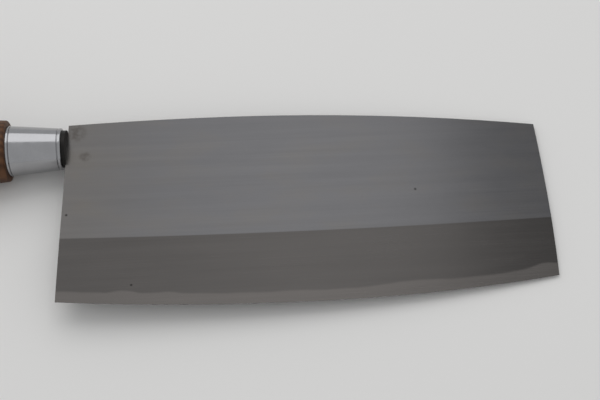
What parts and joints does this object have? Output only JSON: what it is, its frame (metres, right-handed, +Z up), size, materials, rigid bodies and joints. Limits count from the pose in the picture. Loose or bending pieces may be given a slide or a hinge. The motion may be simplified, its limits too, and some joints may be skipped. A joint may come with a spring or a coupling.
{
  "type": "chinese cleaver",
  "caption": "Chinese cleaver: wide laminated steel blade with a long hand-ground bevel, chromed ferrule and round wooden handle, lying on its side.",
  "frame": {"origin": "centre of the bounding box on the surface that the cleaver lies on", "axes": "+X from the handle's butt towards the tip, +Y from the cutting edge towards the spine, +Z up; the blade pitches 3 degrees nose-down, as it lies on the handle's belly and the tip"},
  "size_m": [0.3511, 0.101, 0.0341],
  "materials": {
    "hard_steel": "honed edge, faint warm tone",
    "soft_steel": "fine scratches along the blade",
    "tang_steel": "dull forged steel",
    "collar_steel": "dark scale from brazing",
    "chromed_ferrule": "polished chrome with light handling marks",
    "handle_wood": "oiled reddish-brown hardwood",
    "washer_steel": "plain turned steel"
  },
  "bodies": {
    "root": {"core_steel": "hard_steel", "upper_cladding": "soft_steel", "lower_cladding": "soft_steel", "tang": "tang_steel", "collar": "collar_steel", "ferrule": "chromed_ferrule", "wooden_handle": "handle_wood", "butt_washer": "washer_steel"}
  },
  "joints": []
}
